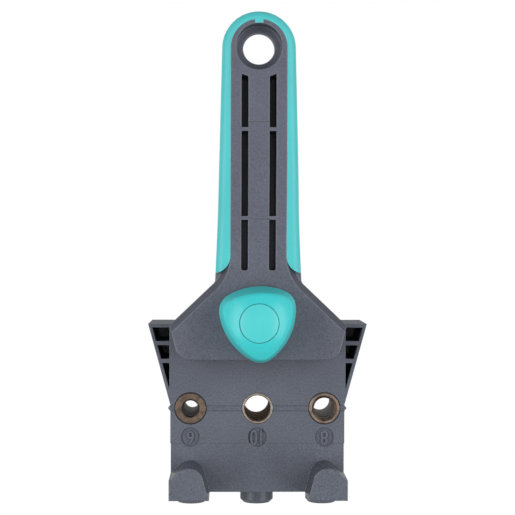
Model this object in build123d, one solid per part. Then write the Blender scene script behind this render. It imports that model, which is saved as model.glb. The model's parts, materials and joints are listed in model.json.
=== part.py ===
"""A hand-held doweling jig with three drill bushes and a sliding, knob-clamped fence handle.

The jig lies on its back. +X runs across the head, +Y up the handle and +Z along the drill bushes,
out of the front. The origin is on the middle bush's axis, in the head's back face. Millimetres.
"""

from math import atan2, cos, radians, sin, tan
import os

from build123d import *

# Head block
block_width = 67.6
block_bottom = 32.5        # from the bush axis down to the pegged edge
block_top = 32.8           # from the bush axis up to the wings' upper edge
block_depth = 30.0
block_wall = 2.5
front_wall = 3.0
rib_thickness = 2.0
lower_step_y = -13.6       # below this line the block is a little narrower
lower_step = 0.2
lower_step_front = 0.12

# Drill bushes
bush_spacing = 26.0
bush_outer_radius = 6.0
bush_fit = 0.02
boss_wall = 2.2
small_bore = 6.0
middle_bore = 10.0
large_bore = 8.0
small_chamfer = 0.6
middle_chamfer = 0.3
large_chamfer = 1.0
back_chamfer = 0.4
bush_outer_chamfer = 0.25
relief_width = 0.3
relief_depth = 0.8

# Marks on the head's front
groove_width = 2.1
groove_depth = 0.4
index_tip = 0.9
index_half_height = 1.1
index_depth = 5.0
number_y = -11.15
number_disc_radius = 3.75
number_disc_depth = 0.7

# Wings
wing_reach = 8.65          # how far a wing's upper corner stands out of the block
wing_foot_y = 1.3          # where the slanted edge meets the block
wing_wall = 1.25
wing_top_wall = 1.4
wing_inner_wall = 0.4
wing_rib = 1.6
wing_floor = 3.0
wing_pocket_height = 5.3

# Feet
foot_height = 19.0
foot_round = 5.5
foot_apex_y = -20.2
foot_inner_slope = 15.0
foot_outer_slope = 40.0
foot_wall = 2.2
foot_edge_round = 0.5

# Pegs
peg_radius = 6.5
peg_length = 6.35
peg_chamfer = 1.2

# Clamp: a bolt through a slot in the head
clamp_y = 34.7             # the bolt's axis with the fence fully out
fence_travel = 10.7
bolt_radius = 3.0
bolt_head_radius = 6.5
bolt_head_height = 3.0
bolt_run_out = 3.5         # past the nut
bolt_neck = 3.0
bolt_tip_chamfer = 0.5
bolt_head_round = 0.8
slot_clearance = 0.2
plate_side = 17.4
plate_thickness = 2.5
plate_corner = 0.8
plate_hole_gap = 0.05
channel_clearance = 0.3
web_thickness = 8.0
tongue_half_width = 12.0
tongue_end = 50.5
tongue_corner = 6.0
tongue_end_wall = 3.0

# Handle: fence plate, neck and grip core
slide_gap = 0.05
fence_plate_depth = 12.0   # from the head's front to the fence plate's front
grip_rise = 5.0            # from the fence plate's front to the grip's front
rise_start_y = 59.5
rise_end_y = 98.0
fence_y = 19.7
shoulder_x = 33.7
shoulder_y = 32.8
flare_low_x = 30.5          # where the side would meet the fence edge
flare_corner_round = 6.0
neck_half_width = 16.45
neck_y = 49.2
neck_round = 2.5
waist_half_width = 15.38
waist_y = 75.0
waist_round = 500.0
grip_end_y = 137.5         # centre of the grip's round end
grip_end_radius = 13.9
bevel = 2.4
cheek_depth = 2.25         # of the hollow beside the neck
back_round = 1.2
fence_edge = 0.4
handle_skin = 3.2
handle_wall = 2.6
handle_rib = 2.0
handle_core_half = 9.0     # half width of the solid middle round the bolt
handle_rib_x = 21.0
handle_pocket_end = 50.0
handle_bolt_gap = 0.15
key_length = 6.5
key_depth = 6.0
key_gap = 3.4

# Soft grip
strip_half_width = 10.65
grip_round = 3.0
grip_thickness = 1.8       # of the soft band outside the core's flange
flange_depth = 4.0         # of the soft band over each face of the flange
grip_low_inner_y = 59.2
grip_low_outer_y = 52.7
grip_tab_width = 3.0
grip_tab_length = 1.45

# Openings in the grip
hang_hole_y = 137.9
hang_hole_radius = 6.0
hang_recess_radius = 8.7
hang_web = 4.1
slot_inner_x = 4.0
slot_outer_x = 6.55
slot_floor = 3.0
# Each slot segment: lower end, upper end, slant of the upper end, round of the lower end
slot_spans = ((107.6, 126.7, 0.9, 0), (74.3, 106.2, 0, 0), (53.8, 72.9, 0, 0.8))
panel_half_width = 3.7
panel_low_y = 73.2
panel_high_y = 109.65
panel_line = 0.4
panel_line_depth = 0.25

# Knob
washer_radius = 7.0
washer_thickness = 1.2
washer_gap = 0.2
knob_bolt_gap = 0.3
knob_gap = 0.3             # between the handle and the knob's rim
knob_vertex_radius = 15.7
knob_side_radius = 13.1
knob_vertex_round = 7.0
knob_turn = 5.0
knob_collar = 3.5          # straight part of the side, above the rim
knob_taper = 9.0
knob_crown_radius = 20.0
knob_rim_round = 3.0
knob_wall = 2.4
knob_hub_radius = 8.6
knob_rib = 1.8
cap_radius = 7.1
cap_gap = 0.2
cap_thickness = 2.8        # at the middle of its crown
cap_skirt_depth = 3.0
cap_skirt_wall = 1.0
cap_skirt_gap = 0.05
cap_bore_radius = 6.2
cap_room = 4.7             # between the bolt's end and the cap
nut_flats = 10.0
nut_height = 5.0
nut_fit = 0.05
nut_floor = 2.8            # of the knob under the nut
nut_head_room = 0.5
thread_gap = 0.05

# Heights and places worked out from the sizes above
half_block = block_width / 2
peg_z = block_depth / 2
handle_back = block_depth + slide_gap
plate_front = block_depth + fence_plate_depth
grip_front = plate_front + grip_rise
web_back = block_depth - web_thickness
plate_back = web_back - plate_thickness
bolt_head_back = plate_back - bolt_head_height
channel_half = plate_side / 2 + channel_clearance
slot_half = bolt_radius + slot_clearance
slot_low_y = clamp_y - fence_travel - slot_half
key_low_y = clamp_y + key_gap
key_high_y = key_low_y + key_length
slot_high_y = key_high_y + slot_clearance
washer_front = plate_front + washer_thickness
knob_back = plate_front + knob_gap
nut_back = washer_front + nut_floor
bolt_tip = nut_back + nut_height + bolt_run_out
cap_seat = bolt_tip + cap_room
knob_top = cap_seat + cap_thickness
tiny = 0.01


def block(x_low, x_high, y_low, y_high, z_low, z_high):
    """A box given by its two corners."""
    size = (x_high - x_low, y_high - y_low, z_high - z_low)
    return Pos(x_low, y_low, z_low) * Box(*size, align=(Align.MIN, Align.MIN, Align.MIN))


def rod(radius, z_low, z_high, x=0, y=0):
    """A round bar along Z."""
    bar = Cylinder(radius, z_high - z_low, align=(Align.CENTER, Align.CENTER, Align.MIN))
    return Pos(x, y, z_low) * bar


def prism(points, z_low, z_high):
    """A straight-sided solid over an outline of points."""
    return Pos(0, 0, z_low) * extrude(make_face(Polyline(*points, close=True)), z_high - z_low)


def both_sides(shape):
    """The shape and its mirror image across the jig's middle plane."""
    return shape + mirror(shape, Plane.YZ)


def wing_edge_x(y):
    """How far out the wing's slanted edge is at a height."""
    share = (y - wing_foot_y) / (block_top - wing_foot_y)
    return half_block + wing_reach * share


def foot_outline():
    """The right foot: an arched top between a steep inner and a flatter outer flank."""
    centre_y = foot_apex_y - foot_round
    inner, outer = radians(foot_inner_slope), radians(foot_outer_slope)
    side = half_block - lower_step
    inner_touch = (bush_spacing - foot_round * cos(inner), centre_y + foot_round * sin(inner))
    outer_touch = (bush_spacing + foot_round * sin(outer), centre_y + foot_round * cos(outer))
    inner_foot = (inner_touch[0] - (inner_touch[1] + block_bottom) * tan(inner), -block_bottom)
    outer_foot = (side, outer_touch[1] - (side - outer_touch[0]) * tan(outer))
    arch = ThreePointArc(inner_touch, (bush_spacing, foot_apex_y), outer_touch)
    flanks = Polyline(outer_touch, outer_foot, (side, -block_bottom), inner_foot, inner_touch)
    return make_face(arch + flanks)


def wing():
    """The right wing, with its blind pockets open to the front."""
    corner = (wing_edge_x(block_top), block_top)
    inner = half_block - block_wall
    shell = prism([(half_block, wing_foot_y), corner, (inner, block_top), (inner, wing_foot_y)],
                  0, block_depth)
    pocket_x = half_block + wing_inner_wall
    top = block_top - wing_top_wall
    for _ in range(2):
        low = top - wing_pocket_height
        shell -= prism([(pocket_x, top), (wing_edge_x(top) - wing_wall, top),
                        (wing_edge_x(low) - wing_wall, low), (pocket_x, low)],
                       wing_floor, block_depth + tiny)
        top = low - wing_rib
    tip_y = wing_foot_y + (wing_inner_wall + wing_wall) / wing_reach * (block_top - wing_foot_y)
    shell -= prism([(pocket_x, top), (wing_edge_x(top) - wing_wall, top), (pocket_x, tip_y)],
                   wing_floor, block_depth + tiny)
    return shell


def drill_head():
    """The moulded head: block, wings, feet, pegs and the slotted tongue behind the handle."""
    low_half = half_block - lower_step
    head = block(-half_block, half_block, lower_step_y, block_top, 0, block_depth)
    head += block(-low_half, low_half, -block_bottom, lower_step_y + tiny, 0,
                  block_depth - lower_step_front)
    head += block(-tongue_half_width, tongue_half_width, block_top - tiny, tongue_end, 0, block_depth)
    head = fillet(head.edges().filter_by(Axis.Z).group_by(Axis.Y)[-1], tongue_corner)

    # Hollow from the back, leaving walls, a grid of ribs and the bush bosses
    inner_half = half_block - block_wall
    hollow = block(-inner_half, inner_half, block_wall - block_bottom, block_top - block_wall,
                   -tiny, block_depth - front_wall)
    for x in (-2 * bush_spacing / 3, 0, 2 * bush_spacing / 3):
        hollow -= block(x - rib_thickness / 2, x + rib_thickness / 2, -block_bottom, block_top,
                        -tiny, block_depth)
    for y in (-block_bottom / 2, 0, block_top / 2):
        hollow -= block(-half_block, half_block, y - rib_thickness / 2, y + rib_thickness / 2,
                        -tiny, block_depth)
    for x in (-bush_spacing, 0, bush_spacing):
        hollow -= rod(bush_outer_radius + boss_wall, -tiny, block_depth, x)
    channel_low = clamp_y - fence_travel - channel_half
    channel_high = tongue_end - tongue_end_wall
    wall_half = channel_half + rib_thickness
    hollow -= block(-wall_half, wall_half, channel_low - rib_thickness, block_top, -tiny, block_depth)
    head -= hollow

    # Channel for the clamp plate, and the bolt's slot through its front web
    head -= block(-channel_half, channel_half, channel_low, channel_high, -tiny, web_back)
    head -= block(-slot_half, slot_half, slot_low_y, slot_high_y, web_back - tiny, block_depth + tiny)

    # Feet, cored from the back
    outline = foot_outline()
    foot = Pos(0, 0, block_depth - front_wall) * extrude(outline, foot_height + front_wall)
    foot = fillet(foot.faces().sort_by(Axis.Z)[-1].edges(), foot_edge_round)
    core = extrude(offset(outline, -foot_wall, kind=Kind.INTERSECTION),
                   block_depth + foot_height - foot_wall)
    head += both_sides(foot)
    head -= both_sides(Pos(0, 0, -tiny) * core)

    # Wings and their index tips
    head += both_sides(wing())
    tip = prism([(half_block - tiny, index_half_height), (half_block + index_tip, 0),
                 (half_block - tiny, -index_half_height)], block_depth - index_depth, block_depth)
    head += both_sides(tip)

    # Pegs on the lower edge
    peg = Cylinder(peg_radius, peg_length + block_wall, align=(Align.CENTER, Align.CENTER, Align.MIN))
    peg = chamfer(peg.faces().sort_by(Axis.Z)[-1].edges(), peg_chamfer)
    peg = Rot(90, 0, 0) * peg
    for x in (-bush_spacing, 0, bush_spacing):
        head += Pos(x, block_wall - block_bottom, peg_z) * peg

    # Bush bores, their relief rings, the centre line and the number discs
    for x in (-bush_spacing, 0, bush_spacing):
        head -= rod(bush_outer_radius + bush_fit, -tiny, block_depth + tiny, x)
        head -= rod(number_disc_radius, block_depth - number_disc_depth, block_depth + tiny, x, number_y)
    for x in (-bush_spacing, bush_spacing):
        head -= rod(bush_outer_radius + relief_width, block_depth - relief_depth, block_depth + tiny, x)
    groove_half = groove_width / 2
    head -= block(-half_block - index_tip - tiny, half_block + index_tip + tiny, -groove_half, groove_half,
                  block_depth - groove_depth, block_depth + tiny)
    return head


def bush(bore, front_chamfer, rear_chamfer):
    """A drill bush, chamfered at the ends of its bore."""
    radius = bore / 2
    body = rod(bush_outer_radius, 0, block_depth)
    body = chamfer(body.edges(), bush_outer_chamfer)
    body -= rod(radius, -tiny, block_depth + tiny)
    mouth = Cone(radius, radius + front_chamfer, front_chamfer, align=(Align.CENTER, Align.CENTER, Align.MAX))
    body -= Pos(0, 0, block_depth) * mouth
    if rear_chamfer > 0:
        rear = Cone(radius + rear_chamfer, radius, rear_chamfer,
                    align=(Align.CENTER, Align.CENTER, Align.MIN))
        body -= rear
    return body


def handle_half(low_points, radii):
    """The right half of a plan outline that ends in the grip's round end."""
    side = FilletPolyline(*low_points, radius=radii)
    diagonal = grip_end_radius * sin(radians(45))
    middle = (diagonal, grip_end_y + diagonal)
    top = (0, grip_end_y + grip_end_radius)
    end = ThreePointArc(low_points[-1], middle, top)
    return make_face(side + end + Line(top, low_points[0]))


def handle_outline():
    """The whole handle in plan: fence edge, flared foot, neck and round-ended grip."""
    points = [(0, fence_y), (flare_low_x, fence_y), (shoulder_x, shoulder_y),
              (neck_half_width, neck_y), (waist_half_width, waist_y), (grip_end_radius, grip_end_y)]
    return both_sides(handle_half(points, [flare_corner_round, 0, neck_round, waist_round]))


def side_profile():
    """The handle seen from the side: the fence plate rises to the thicker grip."""
    end_y = grip_end_y + grip_end_radius + 1
    middle = ((rise_start_y + rise_end_y) / 2, (plate_front + grip_front) / 2)
    back = Polyline((rise_end_y, grip_front), (end_y, grip_front), (end_y, handle_back),
                    (fence_y - 1, handle_back), (fence_y - 1, plate_front), (rise_start_y, plate_front))
    rise = TangentArc((rise_start_y, plate_front), middle, tangent=(1, 0))
    crest = TangentArc((rise_end_y, grip_front), middle, tangent=(-1, 0))
    return Plane.YZ * make_face(back + rise + crest)


def grip_region():
    """The plan area of the soft band: outside the bare strip, with rounded lower ends."""
    far_x = neck_half_width + 5
    far_y = grip_end_y + grip_end_radius + 5
    inner = (strip_half_width, grip_low_inner_y)
    outer = (neck_half_width, grip_low_outer_y)
    end = TangentArc(inner, outer, tangent=(0, -1))
    rest = Polyline(outer, (far_x, grip_low_outer_y), (far_x, far_y), (0, far_y),
                    (0, grip_end_y), (strip_half_width, grip_end_y), inner)
    area = both_sides(make_face(end + rest))
    area -= Pos(0, grip_end_y) * Circle(strip_half_width)
    tab_low = grip_end_y + strip_half_width - grip_tab_length
    tab = Pos(0, tab_low) * Rectangle(grip_tab_width, grip_tab_length + 1, align=(Align.CENTER, Align.MIN))
    return area + tab


def below_front(depth):
    """Everything that lies more than a depth below the handle's front."""
    return Pos(0, 0, -depth) * extrude(side_profile(), shoulder_x + 1, both=True)


def handle_form():
    """The handle's plain outer form: its plan outline cut to its side profile."""
    plan = Pos(0, 0, handle_back) * extrude(handle_outline(), grip_front - handle_back + 1)
    return plan & below_front(0)


def upper_rim(body, front):
    """The edges of the front or the back face that run up from the shoulders round the grip."""
    return [edge for edge in body.edges()
            if (edge.center().Z > plate_front - tiny if front else edge.center().Z < handle_back + tiny)
            and edge.center().Y > shoulder_y + 1
            and (abs(edge.center().X) > 1 or edge.center().Y > grip_end_y)]


def handle_block():
    """The moulding's outer form, with a bevel round its front and small rounds elsewhere."""
    body = handle_form()
    body = chamfer(upper_rim(body, True), bevel)
    body = fillet(upper_rim(body, False), back_round)
    fence_rim = [edge for edge in body.edges()
                 if edge.center().Z > plate_front - tiny and edge.center().Y < shoulder_y - bevel]
    return fillet(fence_rim, fence_edge)


def cheek_cut():
    """The hollow beside the right of the neck, where the bevel swings in to meet the soft band."""
    slope = atan2(neck_y - shoulder_y, shoulder_x - neck_half_width)
    line = neck_half_width * sin(slope) + neck_y * cos(slope) - bevel
    corner_y = (line - strip_half_width * sin(slope)) / cos(slope)
    swing = (grip_low_inner_y - corner_y) / tan((radians(90) - slope) / 2)
    above = grip_rise
    cut = Cone(swing - cheek_depth, swing + above, cheek_depth + above,
               align=(Align.CENTER, Align.CENTER, Align.MIN))
    cut = Pos(strip_half_width + swing, grip_low_inner_y, plate_front - cheek_depth) * cut
    return cut & block(0, block_width, 0, grip_low_inner_y, handle_back, grip_front)


def grip_solid():
    """The soft band's outer form, well rounded along its front and back edges."""
    body = handle_form()
    body = fillet(upper_rim(body, True), grip_round)
    return fillet(upper_rim(body, False), grip_round)


def grip_flange():
    """The core's flange, which the soft band wraps round, as far below the front as above the back."""
    inset = offset(handle_outline(), -grip_thickness, kind=Kind.INTERSECTION)
    depth = grip_front - handle_back
    flange = Pos(0, 0, handle_back + flange_depth) * extrude(inset, depth)
    return flange & below_front(flange_depth)


def soft_grip():
    """The turquoise band moulded round the grip, with its small tab in the middle of the end."""
    region = extrude(grip_region(), grip_front + 1)
    return (grip_solid() & region) - grip_flange()


def slot_cut(y_low, y_high, slant, low_round):
    """One segment of the right-hand slot; its upper end may slope and its lower end be rounded."""
    points = [(slot_inner_x, y_low), (slot_outer_x, y_low), (slot_outer_x, y_high + slant),
              (slot_inner_x, y_high)]
    cut = prism(points, handle_back + slot_floor, grip_front + 1)
    if low_round > 0:
        cut = fillet(cut.edges().filter_by(Axis.Z).group_by(Axis.Y)[0], low_round)
    return cut


def handle_body():
    """The handle's grey moulding: fence plate, neck, grip core, slots and guide key."""
    body = handle_block() - both_sides(cheek_cut())
    body -= extrude(grip_region(), grip_front + 1) - grip_flange()

    # Slots and the plain panel between them
    for y_low, y_high, slant, low_round in slot_spans:
        body -= both_sides(slot_cut(y_low, y_high, slant, low_round))
    for y in (panel_low_y, panel_high_y):
        line = block(-panel_half_width, panel_half_width, y - panel_line / 2, y + panel_line / 2,
                     plate_front, grip_front + 1)
        body -= line - below_front(panel_line_depth)

    # Hanging hole with a recess in each face
    middle = (handle_back + grip_front) / 2
    body -= rod(hang_hole_radius, 0, grip_front + 1, 0, hang_hole_y)
    body -= rod(hang_recess_radius, middle + hang_web / 2, grip_front + 1, 0, hang_hole_y)
    body -= rod(hang_recess_radius, 0, middle - hang_web / 2, 0, hang_hole_y)

    # Pockets in the fence plate's back, between ribs
    inset = offset(handle_outline(), -handle_wall, kind=Kind.INTERSECTION)
    pockets = extrude(inset, plate_front - handle_skin)
    pockets &= block(-block_width, block_width, 0, handle_pocket_end, handle_back - 1, plate_front)
    pockets -= block(-handle_core_half, handle_core_half, 0, rise_end_y, 0, plate_front)
    for x in (-handle_rib_x, handle_rib_x):
        pockets -= block(x - handle_rib / 2, x + handle_rib / 2, 0, rise_end_y, 0, plate_front)
    body -= pockets

    # Bolt hole and the guide key that runs in the head's slot
    body -= rod(bolt_radius + handle_bolt_gap, 0, plate_front + 1, 0, clamp_y)
    body += block(-bolt_radius, bolt_radius, key_low_y, key_high_y, handle_back - key_depth, handle_back + 1)
    return body


def clamp_bolt():
    """The clamp bolt: flat head, square neck and shank."""
    shank = rod(bolt_radius, plate_back, bolt_tip, 0, clamp_y)
    shank = chamfer(shank.faces().sort_by(Axis.Z)[-1].edges(), bolt_tip_chamfer)
    head = rod(bolt_head_radius, bolt_head_back, plate_back, 0, clamp_y)
    head = fillet(head.faces().sort_by(Axis.Z)[0].edges(), bolt_head_round)
    neck = block(-bolt_radius, bolt_radius, clamp_y - bolt_radius, clamp_y + bolt_radius,
                 plate_back, plate_back + bolt_neck)
    return shank + head + neck


def clamp_plate():
    """The square plate that the bolt pulls against the back of the head's web."""
    half = plate_side / 2
    hole = bolt_radius + plate_hole_gap
    plate = block(-half, half, clamp_y - half, clamp_y + half, plate_back, web_back)
    plate = chamfer(plate.edges().filter_by(Axis.Z), plate_corner)
    return plate - block(-hole, hole, clamp_y - hole, clamp_y + hole, plate_back - 1, web_back + 1)


def thrust_washer():
    """The washer between the handle and the knob."""
    ring = rod(washer_radius, plate_front, washer_front, 0, clamp_y)
    return ring - rod(bolt_radius + washer_gap, plate_front - 1, washer_front + 1, 0, clamp_y)


def knob_outline(inset=0):
    """A three-lobed outline of tangent arcs, with one lobe pointing down."""
    lobe_round = knob_vertex_round - inset
    lobe_distance = knob_vertex_radius - knob_vertex_round
    side_gap = knob_side_radius - knob_vertex_round
    side_offset = (lobe_distance ** 2 - side_gap ** 2) / (2 * side_gap - lobe_distance)
    side_round = knob_side_radius - inset + side_offset

    def place(angle, distance):
        turned = radians(angle + knob_turn)
        return Vector(distance * cos(turned), clamp_y + distance * sin(turned))

    arcs = []
    for lobe_angle in (-90, 30, 150):
        lobe = place(lobe_angle, lobe_distance)
        before = place(lobe_angle - 60, -side_offset)
        after = place(lobe_angle + 60, -side_offset)
        start = before + (lobe - before).normalized() * side_round
        end = after + (lobe - after).normalized() * side_round
        arcs.append(ThreePointArc(start, place(lobe_angle, lobe_distance + lobe_round), end))
        next_lobe = place(lobe_angle + 120, lobe_distance)
        next_start = after + (next_lobe - after).normalized() * side_round
        arcs.append(ThreePointArc(end, place(lobe_angle + 60, knob_side_radius - inset), next_start))
    return make_face(Curve() + arcs)


def clamp_knob():
    """The three-lobed knob: a crowned shell with a hub that holds the nut and carries the cap."""
    collar_top = knob_back + knob_collar
    outline = knob_outline()
    shell = Pos(0, 0, knob_back) * extrude(outline, knob_collar)
    shell += Pos(0, 0, collar_top) * extrude(outline, knob_top - collar_top + 1, taper=knob_taper)
    crown = Pos(0, clamp_y, knob_top - knob_crown_radius) * Sphere(knob_crown_radius)
    shell &= crown
    rim = shell.edges().filter_by(lambda edge: edge.center().Z > (collar_top + knob_top) / 2
                                  and edge.length > knob_vertex_round / 2)
    shell = fillet(rim, knob_rim_round)

    # Hollow from below, leaving the hub and three ribs
    inner = knob_outline(knob_wall)
    ceiling = knob_top - 3 * knob_wall
    hollow = Pos(0, 0, knob_back) * extrude(inner, knob_collar)
    hollow += Pos(0, 0, collar_top) * extrude(inner, ceiling - collar_top, taper=knob_taper)
    hollow -= rod(knob_hub_radius, knob_back, knob_top, 0, clamp_y)
    for lobe_angle in (-90, 30, 150):
        rib = block(0, knob_vertex_radius, -knob_rib / 2, knob_rib / 2, knob_back + 1, knob_top)
        hollow -= Pos(0, clamp_y, 0) * Rot(0, 0, lobe_angle + knob_turn) * rib
    shell -= hollow

    # Bolt hole, washer seat, nut pocket and the cap's seat
    shell -= rod(bolt_radius + knob_bolt_gap, knob_back - 1, knob_top, 0, clamp_y)
    shell -= rod(washer_radius + washer_gap, knob_back - 1, washer_front, 0, clamp_y)
    pocket = RegularPolygon(nut_flats / 2, 6, major_radius=False)
    shell -= Pos(0, clamp_y, nut_back) * extrude(pocket, nut_height + nut_head_room)
    shell -= rod(cap_bore_radius, nut_back + nut_height + nut_head_room - tiny, knob_top, 0, clamp_y)
    shell -= rod(cap_radius + cap_gap, cap_seat, knob_top + 1, 0, clamp_y)
    return shell


def knob_cap():
    """The snap-in cap, crowned like the knob round it."""
    disc = rod(cap_radius, cap_seat, knob_top + 1, 0, clamp_y)
    disc &= Pos(0, clamp_y, knob_top - knob_crown_radius) * Sphere(knob_crown_radius)
    skirt_radius = cap_bore_radius - cap_skirt_gap
    skirt = rod(skirt_radius, cap_seat - cap_skirt_depth, cap_seat + tiny, 0, clamp_y)
    skirt -= rod(skirt_radius - cap_skirt_wall, cap_seat - cap_skirt_depth - 1, cap_seat, 0, clamp_y)
    return disc + skirt


def knob_nut():
    """The hexagon nut in the knob."""
    outline = RegularPolygon(nut_flats / 2 - nut_fit, 6, major_radius=False)
    nut = Pos(0, clamp_y, nut_back) * extrude(outline, nut_height)
    return nut - rod(bolt_radius + thread_gap, nut_back - 1, nut_back + nut_height + 1, 0, clamp_y)


parts = {
    "drill_head": drill_head,
    "bush_6": lambda: Pos(-bush_spacing, 0, 0) * bush(small_bore, small_chamfer, back_chamfer),
    "bush_10": lambda: bush(middle_bore, middle_chamfer, 0),
    "bush_8": lambda: Pos(bush_spacing, 0, 0) * bush(large_bore, large_chamfer, back_chamfer),
    "handle_body": handle_body,
    "soft_grip": soft_grip,
    "clamp_bolt": clamp_bolt,
    "clamp_plate": clamp_plate,
    "thrust_washer": thrust_washer,
    "clamp_knob": clamp_knob,
    "knob_cap": knob_cap,
    "knob_nut": knob_nut,
}

os.makedirs("parts", exist_ok=True)
for name, make in parts.items():
    solid = make()
    print(name, solid.is_valid, len(solid.solids()), round(solid.volume))
    export_step(solid, f"parts/{name}.step")
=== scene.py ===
"""The looks of the doweling jig: grained grey mouldings, a turquoise grip and knob, oiled steel bushes.

Every size is in metres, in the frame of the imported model: +X across the head, +Y up the handle,
+Z along the drill bushes and out of the head's front, towards the camera.
"""

import json
import logging
import math
from dataclasses import dataclass, replace
from enum import Enum
from typing import Callable, Sequence, Union

import bpy
from mathutils import Matrix, Vector

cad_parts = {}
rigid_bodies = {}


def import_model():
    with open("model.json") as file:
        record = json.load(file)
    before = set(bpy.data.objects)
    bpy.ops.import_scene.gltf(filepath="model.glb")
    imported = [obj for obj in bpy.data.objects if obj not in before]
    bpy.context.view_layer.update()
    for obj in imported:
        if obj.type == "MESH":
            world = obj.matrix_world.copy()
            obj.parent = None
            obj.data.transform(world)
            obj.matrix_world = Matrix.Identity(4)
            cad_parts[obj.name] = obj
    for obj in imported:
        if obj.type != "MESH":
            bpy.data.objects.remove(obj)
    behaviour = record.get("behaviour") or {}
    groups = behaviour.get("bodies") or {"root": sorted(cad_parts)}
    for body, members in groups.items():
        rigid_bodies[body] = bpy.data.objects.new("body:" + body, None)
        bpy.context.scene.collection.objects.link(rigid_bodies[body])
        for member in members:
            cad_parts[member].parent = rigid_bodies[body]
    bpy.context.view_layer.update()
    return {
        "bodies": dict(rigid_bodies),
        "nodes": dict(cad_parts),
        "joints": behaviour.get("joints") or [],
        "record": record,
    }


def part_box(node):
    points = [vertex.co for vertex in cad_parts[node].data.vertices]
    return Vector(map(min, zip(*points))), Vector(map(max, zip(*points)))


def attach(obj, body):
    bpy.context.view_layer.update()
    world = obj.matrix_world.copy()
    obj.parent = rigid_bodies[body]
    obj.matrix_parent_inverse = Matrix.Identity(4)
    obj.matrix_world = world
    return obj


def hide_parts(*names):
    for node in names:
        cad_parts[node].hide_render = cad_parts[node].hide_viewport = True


MM = 0.001
BUSH_SPACING = 26.0 * MM
MARK_PITCH = 6.0 * MM
RECESS_Y = -11.15 * MM

# Nearly all of a noise texture lies between these
NOISE_LOW = 0.3
NOISE_HIGH = 0.7
NOISE_MIDDLE = (NOISE_LOW + NOISE_HIGH) / 2

log = logging.getLogger("jig")

Colour = tuple[float, float, float]
Number = Union[int, float, "Field"]


class Slot(Enum):
    """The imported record's material slots that the scene's own pieces take."""

    GREY = "grey_plastic"
    KNOB = "turquoise_plastic"
    BUSH = "bush_steel"


class Body(Enum):
    """The bodies that the scene's own pieces ride on."""

    HEAD = "head"
    KNOB = "knob"


class Field:
    """A number that a node tree works out, written with the usual signs."""

    def __init__(self, board: "Board", socket: bpy.types.NodeSocket) -> None:
        """Keeps the socket that carries the number and the board that it is on."""
        self.board = board
        self.socket = socket

    def math(self, operation: str, *others: Number) -> "Field":
        """Adds a Math node.

        Args:
            operation: Blender's name of the operation.
            others: The numbers that follow this one.

        Returns:
            The node's result.
        """
        node = self.board.add("ShaderNodeMath", operation=operation)
        for place, value in zip(node.inputs, (self, *others)):
            self.board.feed(value, place)
        return Field(self.board, node.outputs[0])

    def __add__(self, other: Number) -> "Field":
        """This number plus another."""
        return self.math("ADD", other)

    def __sub__(self, other: Number) -> "Field":
        """This number less another."""
        return self.math("SUBTRACT", other)

    def __rsub__(self, other: Number) -> "Field":
        """Another number less this one."""
        return self.math("MULTIPLY_ADD", -1.0, other)

    def __mul__(self, other: Number) -> "Field":
        """This number times another."""
        return self.math("MULTIPLY", other)

    def __truediv__(self, other: Number) -> "Field":
        """This number over another."""
        return self.math("DIVIDE", other)

    __radd__ = __add__
    __rmul__ = __mul__

    def span(self, low: Number, high: Number) -> "Field":
        """Runs from 0 to 1 as this number goes from low to high, and stays there outside.

        Args:
            low: Where the result leaves 0.
            high: Where the result reaches 1.

        Returns:
            The share of the way from low to high.
        """
        share = (self - low) / (high - low)
        return share.math("MAXIMUM", 0.0).math("MINIMUM", 1.0)

    def towards(self, other: Number, share: "Field") -> "Field":
        """This number moved towards another by a share of the way.

        Args:
            other: The number at a share of 1.
            share: From 0 to 1.

        Returns:
            The number between the two.
        """
        return self + (other - self) * share


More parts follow.
